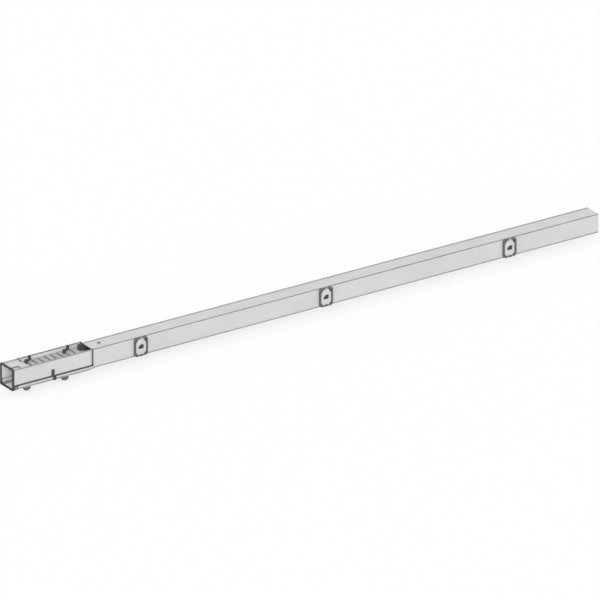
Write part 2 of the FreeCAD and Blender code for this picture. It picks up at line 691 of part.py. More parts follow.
def make_joint_contact(number):
    """Make a double jaw: two plates on a web, open at both ends and flared at the left."""
    body = new_body(f"joint_contact_{number + 1}")
    level = bar_level(number)
    inside = "(sizes.bar_thick / 2)"
    outside = "(sizes.bar_thick / 2 + sizes.jaw_sheet)"
    web_end = f"({left} + sizes.bar_inset)"
    web_start = f"({web_end} - sizes.jaw_web)"
    end = f"({web_end} + sizes.jaw_overlap)"
    tip = f"({block_start} - sizes.jaw_reach)"
    bend = f"({tip} + 4 * sizes.jaw_flare)"
    flare = "sizes.jaw_flare"
    sketch = new_sketch(body, "XZ_Plane", f"jaw_outline_{number + 1}")
    add_polygon(sketch, [
        (tip, f"{level} + {inside} + {flare}"), (bend, f"{level} + {inside}"),
        (web_start, f"{level} + {inside}"), (web_start, f"{level} - {inside}"),
        (bend, f"{level} - {inside}"), (tip, f"{level} - {inside} - {flare}"),
        (tip, f"{level} - {outside} - {flare}"), (bend, f"{level} - {outside}"),
        (end, f"{level} - {outside}"), (end, f"{level} - {inside}"),
        (web_end, f"{level} - {inside}"), (web_end, f"{level} + {inside}"),
        (end, f"{level} + {inside}"), (end, f"{level} + {outside}"),
        (bend, f"{level} + {outside}"), (tip, f"{level} + {outside} + {flare}"),
    ])
    add_pad(body, sketch, f"jaw_plates_{number + 1}", "sizes.bar_width", both_ways=True)
    for side in ("left", "right"):
        sketch = new_sketch(body, "XY_Plane", f"jaw_hole_{side}_{number + 1}",
                            f"{level} + 2 * {outside}")
        add_square(sketch, (f"{left} + sizes.clamp_{side}", "0"),
                   "sizes.sleeve_size + sizes.sleeve_gap")
        add_pocket(body, sketch, f"jaw_bore_{side}_{number + 1}", f"4 * {outside}")


# Clamps: a bolt through the whole stack, a lever on top and a knob below

hub_bottom = "(sizes.casing_height + sizes.hub_rise)"
hub_middle = f"({hub_bottom} + sizes.hub_tall / 2)"
knob_seat = "(sizes.knob_neck_tall + sizes.knob_rim_tall)"


def make_clamp(side):
    place = f"({left} + sizes.clamp_{side})"
    body = new_body(f"clamp_bolt_{side}")
    foot = f"(-sizes.tray_drop - {knob_seat})"
    sketch = new_sketch(body, "XY_Plane", f"bolt_rod_circle_{side}", foot)
    add_circle(sketch, (place, "0"), "sizes.bolt_size")
    add_pad(body, sketch, f"bolt_rod_{side}", f"{hub_middle} - {foot}")

    body = new_body(f"clamp_lever_{side}")
    sketch = new_sketch(body, "XY_Plane", f"hub_circle_{side}", hub_bottom)
    add_circle(sketch, (place, "0"), "sizes.hub_size")
    add_pad(body, sketch, f"hub_{side}", "sizes.hub_tall")
    sketch = new_sketch(body, "XZ_Plane", f"lever_outline_{side}")
    half = "sizes.lever_thick / 2"
    low = f"{hub_middle} - sizes.lever_tail"
    elbow = f"{hub_middle} + sizes.lever_elbow"
    high = f"{hub_middle} + sizes.lever_rise"
    outer = f"{place} + sizes.lever_reach + {half}"
    inner = f"{place} + sizes.lever_reach - {half}"
    add_polygon(sketch, [
        (f"{place} - sizes.lever_tail - {half}", low), (f"{place} - sizes.lever_tail + {half}", low),
        (outer, elbow), (outer, high), (inner, high), (inner, f"{elbow} + {half}"),
    ])
    add_pad(body, sketch, f"lever_{side}", "sizes.lever_wide", both_ways=True)
    add_chamfer(body, f"lever_ends_{side}", "sizes.lever_bevel",
                lambda edge: runs_along(edge, along_y)
                and (lies_at(edge.BoundBox.ZMin, low) or lies_at(edge.BoundBox.ZMin, high)))
    sketch = new_sketch(body, "XY_Plane", f"hub_bore_circle_{side}", hub_middle)
    add_circle(sketch, (place, "0"), "sizes.bolt_size")
    add_pocket(body, sketch, f"hub_bore_{side}", "sizes.lever_tail + sizes.overrun")

    body = new_body(f"clamp_knob_{side}")
    neck_foot = "(-sizes.tray_drop - sizes.knob_neck_tall)"
    tip = "(-sizes.tray_drop - sizes.knob_tall)"
    sketch = new_sketch(body, "XZ_Plane", f"knob_section_{side}")
    add_polygon(sketch, [
        (place, "-sizes.tray_drop"), (f"{place} + sizes.knob_neck / 2", "-sizes.tray_drop"),
        (f"{place} + sizes.knob_neck / 2", neck_foot), (f"{place} + sizes.knob_size / 2", neck_foot),
        (f"{place} + sizes.knob_size / 2", foot), (f"{place} + sizes.knob_tip / 2", tip),
        (place, tip),
    ])
    turned = body.newObject("PartDesign::Revolution", f"knob_turned_{side}")
    turned.Profile = sketch
    turned.ReferenceAxis = (sketch, ["Edge7"])
    turned.Angle = 360
    doc.recompute()
    sketch = new_sketch(body, "XY_Plane", f"knob_bore_circle_{side}", "0")
    add_circle(sketch, (place, "0"), "sizes.bolt_size")
    add_pocket(body, sketch, f"knob_bore_{side}", f"-{foot}")


def make_side_latch(label, outwards):
    """Make the strap that hooks the bottom cover to the side plate, stepped over the trim."""
    body = new_body(label)
    backwards = outwards < 0
    face = f"({plate_outer} + sizes.trim_thick + sizes.clip_sheet)"
    offset = face if backwards else f"-{face}"
    start = f"({left} + sizes.clip_place)"
    upper = (start, f"({start} + sizes.clip_width)")
    lower = (f"({start} + sizes.clip_step)", f"({start} + sizes.clip_width + sizes.clip_step)")
    foot = "(-sizes.tray_drop)"
    sketch = new_sketch(body, "XZ_Plane", label + "_outline", offset)
    add_polygon(sketch, [
        (upper[0], "sizes.clip_top"), (upper[1], "sizes.clip_top"), (upper[1], trim_top),
        (lower[1], "sizes.skirt_level"), (lower[1], foot), (lower[0], foot),
        (lower[0], "sizes.skirt_level"), (upper[0], trim_top),
    ])
    add_pad(body, sketch, label + "_strap", "sizes.clip_sheet", backwards=backwards)
    sketch = new_sketch(body, "XZ_Plane", label + "_plate_outline", offset)
    add_rectangle(sketch, (upper[0], trim_top), (upper[1], "sizes.clip_top"))
    add_pad(body, sketch, label + "_plate", f"{face} - {plate_outer}", backwards=backwards)
    sketch = new_sketch(body, "XZ_Plane", label + "_hook_outline", offset)
    add_rectangle(sketch, (lower[0], foot), (lower[1], "sizes.skirt_level"))
    add_pad(body, sketch, label + "_hook", f"{face} - {plate_inner}", backwards=backwards)


make_casing_cover()
make_casing_base()
for bar_number in range(int(amount("sizes.bar_count"))):
    make_busbar(bar_number)
first_support = make_bar_support(1, f"({left} + sizes.screw_inset)")
make_bar_support(2, "(-sizes.outlet_pitch / 2)")
make_bar_support(3, "(sizes.outlet_pitch / 2)")
make_bar_support(4, f"({tail} - sizes.support_inset)")
make_cover_screw(first_support)
for outlet_number in range(int(amount("sizes.outlet_count"))):
    make_outlet_frame(outlet_number)
    make_outlet_pin(outlet_number)
    make_outlet_flap(outlet_number)
    make_outlet_latch(outlet_number)
make_side_plate("side_plate_front", plate_outer, True)
make_side_plate("side_plate_back", f"-{plate_outer}", False)
make_bottom_cover()
make_bridge_plate()
make_mouth_seal()
make_end_seal("end_seal_front", -1)
make_end_seal("end_seal_back", 1)
make_trim("trim_front", plate_outer, False)
make_trim("trim_back", f"-{plate_outer}", True)
make_joint_block()
make_joint_deck()
for bar_number in range(int(amount("sizes.bar_count"))):
    make_joint_contact(bar_number)
make_clamp("left")
make_clamp("right")
make_side_latch("side_latch_front", -1)
make_side_latch("side_latch_back", 1)

doc.recompute()
for item in doc.Objects:
    if "Invalid" in item.State or "Error" in item.State:
        raise RuntimeError(f"{item.Label} did not recompute: {item.State}")
for subpart in subparts:
    if subpart.Shape.isNull() or not subpart.Shape.isValid():
        raise RuntimeError(f"{subpart.Label} has no valid shape")

os.makedirs("parts", exist_ok=True)
for subpart in subparts:
    subpart.Shape.exportStep(f"parts/{subpart.Label}.step")
    print(subpart.Label, len(subpart.Shape.Solids), round(subpart.Shape.Volume))
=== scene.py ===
import math

import bmesh
import bpy
from mathutils import Matrix, Vector


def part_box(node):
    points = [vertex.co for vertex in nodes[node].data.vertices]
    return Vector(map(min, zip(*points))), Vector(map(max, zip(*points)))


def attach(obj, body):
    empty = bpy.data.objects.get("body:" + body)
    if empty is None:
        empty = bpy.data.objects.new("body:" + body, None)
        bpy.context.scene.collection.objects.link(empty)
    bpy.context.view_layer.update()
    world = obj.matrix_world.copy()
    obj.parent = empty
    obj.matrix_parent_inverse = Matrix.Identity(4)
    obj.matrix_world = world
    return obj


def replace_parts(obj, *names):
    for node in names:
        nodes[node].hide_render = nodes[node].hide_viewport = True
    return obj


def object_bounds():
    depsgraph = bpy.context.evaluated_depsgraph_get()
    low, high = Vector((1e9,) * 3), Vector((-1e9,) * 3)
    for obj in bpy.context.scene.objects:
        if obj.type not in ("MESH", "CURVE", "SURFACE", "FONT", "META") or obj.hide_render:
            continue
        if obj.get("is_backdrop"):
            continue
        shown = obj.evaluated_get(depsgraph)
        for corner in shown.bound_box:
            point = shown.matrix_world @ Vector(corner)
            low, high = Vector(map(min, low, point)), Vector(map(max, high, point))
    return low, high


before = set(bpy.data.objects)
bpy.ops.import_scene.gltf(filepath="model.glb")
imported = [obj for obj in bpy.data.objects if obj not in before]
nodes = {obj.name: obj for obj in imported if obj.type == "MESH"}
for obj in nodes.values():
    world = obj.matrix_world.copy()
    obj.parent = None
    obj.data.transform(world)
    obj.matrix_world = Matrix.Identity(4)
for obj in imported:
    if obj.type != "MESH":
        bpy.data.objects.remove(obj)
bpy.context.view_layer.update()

print("frame loaded:", len(nodes), "nodes")

# Camera: the drawing has no perspective, so a long lens stands far away

camera = {
    "azimuth": -33.63,  # degrees, from the front towards the left end
    "elevation": 23.78,
    "aim": (-0.1069, 0.0, 0.0375),  # the point in the middle of the picture, in metres
    "lens": 780.0,
    "sensor": 18.0,
    "pictureWide": 2.709,  # metres across the picture, at the aim
}


def viewBack(azimuth, elevation):
    # unit vector from the aim to the camera
    turn = math.radians(azimuth)
    lift = math.radians(elevation)
    return Vector((math.sin(turn) * math.cos(lift), -math.cos(turn) * math.cos(lift), math.sin(lift)))


def makeCamera(p):
    data = bpy.data.cameras.new("photoCamera")
    data.type = "PERSP"
    data.sensor_fit = "HORIZONTAL"
    data.sensor_width = p["sensor"]
    data.lens = p["lens"]
    back = viewBack(p["azimuth"], p["elevation"])
    distance = p["pictureWide"] * p["lens"] / p["sensor"]
    data.clip_start = distance * 0.1
    data.clip_end = distance * 10
    eye = bpy.data.objects.new("photoCamera", data)
    bpy.context.scene.collection.objects.link(eye)
    place = Matrix.Translation(Vector(p["aim"]) + back * distance)
    eye.matrix_world = place @ back.to_track_quat("Z", "Y").to_matrix().to_4x4()
    bpy.context.scene.camera = eye


makeCamera(camera)
print("camera placed")

# Materials


def newMaterial(name):
    material = bpy.data.materials.new(name)
    material.use_nodes = True
    tree = material.node_tree
    shader = tree.nodes["Principled BSDF"]
    coords = tree.nodes.new("ShaderNodeTexCoord")
    return material, tree, shader, coords.outputs["Object"]


def noise(tree, vector, scale, detail=3.0, rough=0.5, stretch=(1, 1, 1)):
    mapping = tree.nodes.new("ShaderNodeMapping")
    mapping.inputs["Scale"].default_value = stretch
    tree.links.new(vector, mapping.inputs["Vector"])
    texture = tree.nodes.new("ShaderNodeTexNoise")
    texture.inputs["Scale"].default_value = scale
    texture.inputs["Detail"].default_value = detail
    texture.inputs["Roughness"].default_value = rough
    tree.links.new(mapping.outputs["Vector"], texture.inputs["Vector"])
    return texture.outputs["Fac"]


def ramp(tree, factor, low, high, at=(0.35, 0.65)):
    blend = tree.nodes.new("ShaderNodeValToRGB")
    blend.color_ramp.elements[0].position = at[0]
    blend.color_ramp.elements[0].color = (*low, 1)
    blend.color_ramp.elements[1].position = at[1]
    blend.color_ramp.elements[1].color = (*high, 1)
    tree.links.new(factor, blend.inputs["Fac"])
    return blend.outputs["Color"]


def spread(tree, factor, low, high, at=(0, 1)):
    span = tree.nodes.new("ShaderNodeMapRange")
    span.inputs["From Min"].default_value = at[0]
    span.inputs["From Max"].default_value = at[1]
    span.inputs["To Min"].default_value = low
    span.inputs["To Max"].default_value = high
    tree.links.new(factor, span.inputs["Value"])
    return span.outputs["Result"]


def bump(tree, shader, height, distance, strength=1.0):
    relief = tree.nodes.new("ShaderNodeBump")
    relief.inputs["Strength"].default_value = strength
    relief.inputs["Distance"].default_value = distance
    tree.links.new(height, relief.inputs["Height"])
    tree.links.new(relief.outputs["Normal"], shader.inputs["Normal"])


def sums(tree, kind, first, second=None):
    # one Math node; first and second are sockets or numbers
    node = tree.nodes.new("ShaderNodeMath")
    node.operation = kind
    for place, value in enumerate((first, second)):
        if value is None:
            continue
        if isinstance(value, (int, float)):
            node.inputs[place].default_value = value
        else:
            tree.links.new(value, node.inputs[place])
    return node.outputs["Value"]


def axes(tree, place):
    split = tree.nodes.new("ShaderNodeSeparateXYZ")
    tree.links.new(place, split.inputs["Vector"])
    return split.outputs["X"], split.outputs["Y"], split.outputs["Z"]


def overlay(tree, factor, under, over):
    # over covers under where factor is 1; over is a socket or a plain colour
    mix = tree.nodes.new("ShaderNodeMix")
    mix.data_type = "RGBA"
    tree.links.new(factor, mix.inputs["Factor"])
    tree.links.new(under, mix.inputs[6])
    if isinstance(over, tuple):
        mix.inputs[7].default_value = (*over, 1)
    else:
        tree.links.new(over, mix.inputs[7])
    return mix.outputs[2]


def inside(tree, value, low, high, soft=0.0004):
    # 1 between low and high, 0 outside
    above = spread(tree, value, 0, 1, (low - soft, low + soft))
    below = spread(tree, value, 1, 0, (high - soft, high + soft))
    return sums(tree, "MULTIPLY", above, below)


def inBox(tree, place, box, soft=0.0006):
    # 1 inside a box given by its spans along X, Y and Z; "both" takes Y without its sign, "repeat" takes X
    # from the nearest whole metre, where an outlet is, and "mirrored" then takes it without its sign
    x, y, z = axes(tree, place)
    if box.get("repeat"):
        x = sums(tree, "SUBTRACT", x, sums(tree, "ROUND", x))
    if box.get("mirrored"):
        x = sums(tree, "ABSOLUTE", x)
    if box.get("both"):
        y = sums(tree, "ABSOLUTE", y)
    within = inside(tree, y, *box["y"], soft)
    within = sums(tree, "MULTIPLY", within, inside(tree, z, *box["z"], soft))
    if "x" in box:
        within = sums(tree, "MULTIPLY", within, inside(tree, x, *box["x"], soft))
    return within


def speckle(tree, place, scale, share, stretch=(1, 1, 1)):
    # sparse small marks: 1 in the marks
    return spread(tree, noise(tree, place, scale, 2, 0.6, stretch), 0, 1, (1 - share, 1 - share + 0.02))


def paintedSteel(name, colour, shadeBands=(), shadeColour=(0.2, 0.2, 0.2), zone=None, variation=0.03):
    # powder coat: faint cloudiness, fine orange peel, scuffs, and darker bands of painted shade along the
    # folds and seams
    material, tree, shader, place = newMaterial(name)
    low = tuple(c * (1 - variation) for c in colour)
    high = tuple(min(1, c * (1 + variation)) for c in colour)
    tone = ramp(tree, noise(tree, place, 9, 4), low, high)
    scuffs = speckle(tree, place, 55, 0.27, (0.25, 1, 1))
    tone = overlay(tree, sums(tree, "MULTIPLY", scuffs, 0.12), tone, tuple(c * 0.6 for c in colour))
    # painted light: a paler grey over the insides, which lie in shade
    if zone:
        tone = overlay(tree, inBox(tree, place, zone), tone, zone["colour"])
    # painted shade: dark bands along the folds and seams, broken up by noise
    if shadeBands:
        shadeBreakup = spread(tree, noise(tree, place, 70, 3, 0.6, (0.35, 1, 1)), 0.75, 1.0, (0.35, 0.6))
        total = inBox(tree, place, shadeBands[0])
        for shadeBand in shadeBands[1:]:
            total = sums(tree, "MAXIMUM", total, inBox(tree, place, shadeBand))
        tone = overlay(tree, sums(tree, "MULTIPLY", total, shadeBreakup), tone, shadeColour)
    tree.links.new(tone, shader.inputs["Base Color"])
    tree.links.new(spread(tree, noise(tree, place, 60, 2), 0.42, 0.52), shader.inputs["Roughness"])
    bump(tree, shader, noise(tree, place, 900, 2), 0.0002, 0.35)
    return material


def mouldedPlastic(name, colour, rough=(0.45, 0.6), grain=1400, zones=()):
    # fine texture and light scuffs; each zone is a box with its own colour
    material, tree, shader, place = newMaterial(name)
    low = tuple(c * 0.94 for c in colour)
    high = tuple(min(1, c * 1.05) for c in colour)
    tone = ramp(tree, noise(tree, place, 25, 3), low, high)
    scuffs = sums(tree, "MULTIPLY", speckle(tree, place, 120, 0.26), 0.25)
    tone = overlay(tree, scuffs, tone, tuple(min(1, c * 1.6 + 0.02) for c in colour))
    for zone in zones:
        tone = overlay(tree, inBox(tree, place, zone), tone, zone["colour"])
    tree.links.new(tone, shader.inputs["Base Color"])
    tree.links.new(spread(tree, noise(tree, place, 150, 2), *rough), shader.inputs["Roughness"])
    bump(tree, shader, noise(tree, place, grain, 2), 0.00015, 0.4)
    return material


def bareMetal(name, colour, stretch=(1, 1, 1), rough=(0.25, 0.4)):
    material, tree, shader, place = newMaterial(name)
    shader.inputs["Metallic"].default_value = 1.0
    streaks = noise(tree, place, 300, 3, 0.6, stretch)
    tone = ramp(tree, streaks, tuple(c * 0.86 for c in colour), colour)
    clouds = spread(tree, noise(tree, place, 20, 3), 0, 0.3, (0.45, 0.7))
    tone = overlay(tree, clouds, tone, tuple(c * 0.72 for c in colour))
    tree.links.new(tone, shader.inputs["Base Color"])
    tree.links.new(spread(tree, streaks, *rough), shader.inputs["Roughness"])
    bump(tree, shader, streaks, 0.0001, 0.3)
    return material


finishes = {
    "paleGrey": (0.63, 0.63, 0.635),
    # paler grey that paints light onto the shaded insides
    "insidePaintedLight": (0.96, 0.96, 0.96),
    # dark grey of the painted shade along the folds and seams
    "foldShadeGrey": (0.12, 0.12, 0.125),
    "plasticGrey": (0.64, 0.64, 0.645),
    "deckGrey": (0.44, 0.44, 0.445),
    # dark grey of the painted shade in the deck's gaps
    "gapShadeGrey": (0.24, 0.24, 0.245),
    # paler grey of the painted highlights in the outlets' rims
    "rimHighlightGrey": (0.45, 0.45, 0.455),
    "blockGrey": (0.2, 0.2, 0.205),
    "rimGrey": (0.115, 0.115, 0.12),
    "knobGrey": (0.19, 0.19, 0.195),
    "nearBlack": (0.05, 0.05, 0.053),
    "rubber": (0.05, 0.05, 0.052),
    # grey of the dark film that stands in for the shade inside the casing
    "stripGrey": (0.085, 0.085, 0.088),
    "filmShadeGrey": (0.14, 0.14, 0.145),
    "aluminium": (0.82, 0.83, 0.84),
    "silver": (0.86, 0.85, 0.82),
    "zinc": (0.72, 0.72, 0.73),
    "screwGrey": (0.16, 0.16, 0.165),
}

# painted shade along the folds and seams, in metres: the spans of each dark band
casingShadeBands = [
    {"y": (-0.0462, -0.0425), "z": (0.0886, 0.0922)},
    {"y": (0.0315, 0.0462), "z": (0.0896, 0.0922)},
    {"y": (0.0435, 0.0462), "z": (-0.0002, 0.0062), "both": True},
]
plateShadeBands = [
    {"y": (-0.0507, -0.0462), "z": (0.0905, 0.0967)},
    {"y": (0.0483, 0.0507), "z": (0.0898, 0.0967)},
    {"y": (0.0345, 0.0507), "z": (0.0945, 0.0967)},
    {"x": (-1.6795, -1.64), "y": (-0.0365, -0.0304), "z": (0.0945, 0.0967)},
    {"x": (-1.6795, -1.59), "y": (0.0484, 0.0487), "both": True, "z": (0.0195, 0.0228)},
    {"x": (-1.2682, -1.2615), "y": (0.0503, 0.0507), "both": True, "z": (0.0124, 0.0967)},
]
trayShadeBands = [
    {"y": (0.0455, 0.0487), "z": (-0.0047, 0.0024), "both": True},
    {"x": (-1.6795, -1.59), "y": (0.0466, 0.0472), "both": True, "z": (0.0128, 0.0202)},
]
# painted light on the joint's insides, a paler grey against their shade: the side plates, the tray's open end
# and the collar's far side
plateInsideLight = {"x": (-1.6795, -1.27), "y": (-1, 0.0487), "both": True, "z": (0.0126, 0.0934),
               "colour": finishes["insidePaintedLight"]}
trayInsideLight = {"x": (-1.6795, -1.59), "y": (-1, 0.0472), "both": True, "z": (-0.0032, 0.03),
              "colour": finishes["insidePaintedLight"]}
collarInsideLight = {"x": (-1.6815, -1.5), "y": (-1, 0.0475), "both": True, "z": (0.021, 0.0932),
              "colour": finishes["insidePaintedLight"]}
# painted shade: the deck darker below z 76.8, down in the gaps between its ribs
deckGapShade = {"y": (-1, 1), "z": (-1, 0.0768), "colour": finishes["gapShadeGrey"]}
# painted highlights, pale patches in each outlet's rim: one over the hinge, two beside the lower tab
rimHighlights = [
    {"x": (-0.0065, 0.0065), "y": (-0.0565, -0.0545), "z": (0.0845, 0.0925), "repeat": True,
     "colour": finishes["rimHighlightGrey"]},
    {"x": (0.0115, 0.0165), "y": (-0.0565, -0.0545), "z": (0.0002, 0.0078), "repeat": True, "mirrored": True,
     "colour": finishes["rimHighlightGrey"]},
]

casingCoat = paintedSteel("casingCoat", finishes["paleGrey"], casingShadeBands, finishes["foldShadeGrey"])
plateCoat = paintedSteel("plateCoat", finishes["paleGrey"], plateShadeBands, finishes["foldShadeGrey"], plateInsideLight)
trayCoat = paintedSteel("trayCoat", finishes["paleGrey"], trayShadeBands, finishes["foldShadeGrey"], trayInsideLight)
palePlastic = mouldedPlastic("palePlastic", finishes["plasticGrey"])
deckPlastic = mouldedPlastic("deckPlastic", finishes["deckGrey"], zones=[deckGapShade])
blockPlastic = mouldedPlastic("blockPlastic", finishes["blockGrey"])
rimPlastic = mouldedPlastic("rimPlastic", finishes["rimGrey"], zones=rimHighlights)
knobPlastic = mouldedPlastic("knobPlastic", finishes["knobGrey"])
blackPlastic = mouldedPlastic("blackPlastic", finishes["nearBlack"])
sealRubber = mouldedPlastic("sealRubber", finishes["rubber"], (0.7, 0.85), 700)
stripRubber = mouldedPlastic("stripRubber", finishes["stripGrey"], (0.7, 0.85), 700)
collarRubber = mouldedPlastic("collarRubber", finishes["rubber"], (0.7, 0.85), 700, [collarInsideLight])
linerShadeFilm = mouldedPlastic("linerShadeFilm", finishes["filmShadeGrey"], (0.35, 0.5), 400)
blackCoat = paintedSteel("blackCoat", finishes["nearBlack"], variation=0.1)
drawnAluminium = bareMetal("drawnAluminium", finishes["aluminium"], (0.02, 1, 1))
silverPlate = bareMetal("silverPlate", finishes["silver"], (0.1, 1, 1), (0.2, 0.32))
zincPlate = bareMetal("zincPlate", finishes["zinc"])
screwMetal = bareMetal("screwMetal", finishes["screwGrey"], rough=(0.35, 0.5))


def coat(material, *names):
    for name in names:
        for node in nodes:
            if node == name or node.startswith(name + "_"):
                mesh = nodes[node].data
                mesh.materials.clear()
                mesh.materials.append(material)


coat(casingCoat, "casing_cover", "casing_base")
coat(plateCoat, "side_plate", "bridge_plate")
coat(trayCoat, "bottom_cover")
coat(palePlastic, "outlet_flap")
coat(rimPlastic, "outlet_frame")
coat(blackPlastic, "outlet_latch", "bar_support")
coat(knobPlastic, "clamp_knob")
coat(blockPlastic, "joint_block")
coat(deckPlastic, "joint_deck")
coat(blackCoat, "clamp_lever", "side_latch")
coat(stripRubber, "end_seal", "trim")
coat(collarRubber, "mouth_seal")
coat(drawnAluminium, "busbar")
coat(silverPlate, "joint_contact")
coat(zincPlate, "clamp_bolt", "outlet_pin")
coat(screwMetal, "cover_screw")
print("materials made")

# Softened edges: how far each moulding's or sheet's edges are rounded, in metres

softening = {
    "mouth_seal": 0.0012, "end_seal": 0.0006, "trim": 0.0006, "clamp_lever": 0.0008, "joint_deck": 0.0008,
    "outlet_flap": 0.0005, "outlet_frame": 0.0006, "side_plate": 0.0004, "bridge_plate": 0.0004,
    "casing_cover": 0.0004, "casing_base": 0.0004, "busbar": 0.0003,
}


def softenEdges(p):
    for name, width in p.items():
        for node in nodes:
            if node == name or node.startswith(name + "_"):
                weld = nodes[node].modifiers.new("weld", "WELD")
                weld.merge_threshold = 1e-5
                soften = nodes[node].modifiers.new("soften", "BEVEL")
                soften.width = width
                soften.segments = 2
                soften.limit_method = "ANGLE"
                soften.angle_limit = math.radians(35)
                nodes[node].modifiers.new("shade", "WEIGHTED_NORMAL")


softenEdges(softening)
print("edges softened")

# Small pieces


def sharpEdges(bm, angle=35):
    return [e for e in bm.edges if e.is_manifold and e.calc_face_angle() > math.radians(angle)]


def finishPiece(name, bm, material, body="trunking"):
    bmesh.ops.remove_doubles(bm, verts=bm.verts, dist=1e-6)
    bmesh.ops.recalc_face_normals(bm, faces=bm.faces)
    for face in bm.faces:
        face.smooth = True
    for edge in sharpEdges(bm):
        edge.smooth = False
    mesh = bpy.data.meshes.new(name)
    bm.to_mesh(mesh)
    bm.free()
    mesh.materials.append(material)
    piece = bpy.data.objects.new(name, mesh)
    bpy.context.scene.collection.objects.link(piece)
    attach(piece, body)
    return piece


def stamp(target, part, turns):
    # copies of part into target, one for each matrix
    for turn in turns:
        copy = part.copy()
        bmesh.ops.transform(copy, matrix=turn, verts=copy.verts)
        mesh = bpy.data.meshes.new("stamp")
        copy.to_mesh(mesh)
        copy.free()
        target.from_mesh(mesh)
        bpy.data.meshes.remove(mesh)


def rounded(bm, geom, offset, segments=2, affect="EDGES"):
    bmesh.ops.bevel(bm, geom=geom, offset=offset, offset_type="OFFSET", segments=segments, profile=0.5,
                    affect=affect, material=-1)


def pushed(bm, face, way):
    # extrudes a face and gives the new face back
    out = bmesh.ops.extrude_face_region(bm, geom=[face])["geom"]
    bmesh.ops.translate(bm, verts=[g for g in out if isinstance(g, bmesh.types.BMVert)], vec=way)
    return [g for g in out if isinstance(g, bmesh.types.BMFace)][0]


def block(low, high, soft):
    # box between two corners with softened edges
    bm = bmesh.new()
    bmesh.ops.create_cube(bm, size=1)
    bmesh.ops.scale(bm, verts=bm.verts, vec=[h - l for l, h in zip(low, high)])
    bmesh.ops.translate(bm, verts=bm.verts, vec=[(h + l) / 2 for l, h in zip(low, high)])
    rounded(bm, bm.edges[:], soft)
    return bm


def grow(bm, face, rise):
    # extrudes a face upwards and gives the new face back; a face without neighbours stays as the underside
    lone = all(len(edge.link_faces) == 1 for edge in face.edges)
    top = pushed(bm, face, (0, 0, rise))
    if not lone:
        bmesh.ops.delete(bm, geom=[face], context="FACES_ONLY")
    return top


def domed(radius, tall, soft, segments, steps):
    # disc that points up, its upper edge rounded in steps
    bm = bmesh.new()
    bmesh.ops.create_circle(bm, cap_ends=True, segments=segments, radius=radius)
    bm.faces.ensure_lookup_table()
    top = grow(bm, bm.faces[0], tall)
    rounded(bm, top.edges[:], soft, steps)
    return bm


def screwHead(p):
    # domed head that points up, with a six-lobed socket
    bm = domed(p["radius"], p["tall"], p["dome"], 48, 3)
    top = max(bm.faces, key=lambda f: f.calc_center_median().z)
    rim = p["radius"] - p["dome"] - p["socket"]
    bmesh.ops.inset_region(bm, faces=[top], thickness=rim, use_even_offset=True)
    for vert in top.verts:
        lobe = 1 + p["lobe"] * math.cos(6 * math.atan2(vert.co.y, vert.co.x))
        vert.co.x *= lobe
        vert.co.y *= lobe
    grow(bm, top, -p["deep"])
    return bm


def outwards(side):
    # turns a part that points up so that it points to side * Y
    return Matrix.Rotation(math.radians(90 * -side), 4, "X")


# Cover screw

coverScrew = {"radius": 0.0064, "tall": 0.0029, "dome": 0.0016, "socket": 0.003, "deep": 0.0018, "lobe": 0.16,
              "washer": 0.0082, "washerTall": 0.0009, "washerSoft": 0.0004, "plainTall": 0.003,
              "lift": 0.0001}


def makeCoverScrew(p):
    low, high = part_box("cover_screw")
    middle = (Vector(low) + Vector(high)) / 2
    bm = bmesh.new()
    seat = high[2] - p["plainTall"]
    part = screwHead(p)
    stamp(bm, part, [Matrix.Translation((middle.x, 0, seat + p["lift"]))])
    part.free()
    ring = domed(p["washer"], p["washerTall"], p["washerSoft"], 32, 2)
    stamp(bm, ring, [Matrix.Translation((middle.x, 0, seat))])
    ring.free()
    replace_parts(finishPiece("coverScrewHead", bm, screwMetal), "cover_screw")


makeCoverScrew(coverScrew)

# A folded black film in the casing's open end, a dark sheet that stands in for the shade inside it

shadeLiner = {"left": -1.28, "right": -1.206, "side": 0.0443, "floor": 0.0021, "top": 0.0899, "thick": 0.0006}


def makeShadeLiner(p):
    bm = bmesh.new()
    side, top, floor = p["side"], p["top"], p["floor"]
    corners = [(-side, top), (-side, floor), (side, floor), (side, top)]
    verts = [bm.verts.new((p["left"], y, z)) for y, z in corners]
    edges = [bm.edges.new(pair) for pair in zip(verts, verts[1:])]
    out = bmesh.ops.extrude_edge_only(bm, edges=edges)["geom"]
    bmesh.ops.translate(bm, verts=[g for g in out if isinstance(g, bmesh.types.BMVert)],
                        vec=(p["right"] - p["left"], 0, 0))
    bmesh.ops.recalc_face_normals(bm, faces=bm.faces)
    bmesh.ops.solidify(bm, geom=bm.faces[:], thickness=p["thick"])
    finishPiece("endShadeLiner", bm, linerShadeFilm)


makeShadeLiner(shadeLiner)

# Guide strips on the tray's floor at the open end

guide = {"left": -1.678, "right": -1.6, "across": 0.0335, "wide": 0.004, "floor": -0.0031, "top": -0.0008,
         "soft": 0.0005}


def makeGuides(p):
    bm = bmesh.new()
    for side in (-1, 1):
        middle = side * p["across"]
        low = (p["left"], middle - p["wide"] / 2, p["floor"])
        high = (p["right"], middle + p["wide"] / 2, p["top"])
        part = block(low, high, p["soft"])
        stamp(bm, part, [Matrix.Identity(4)])
        part.free()
    finishPiece("guideStrips", bm, sealRubber)


makeGuides(guide)

# Sealing beads on the bridge plate: along the front flange, across it, and at the back right corner

bead = {"left": -1.6785, "turn": -1.64, "right": -1.5965, "inner": 0.021, "flange": 0.0305, "outer": 0.0499,
        "plate": 0.0944, "top": 0.0964, "proud": 0.0972, "wide": 0.0055, "back": 0.012, "bite": 0.0004,
        "soft": 0.0006, "proudSoft": 0.0004}


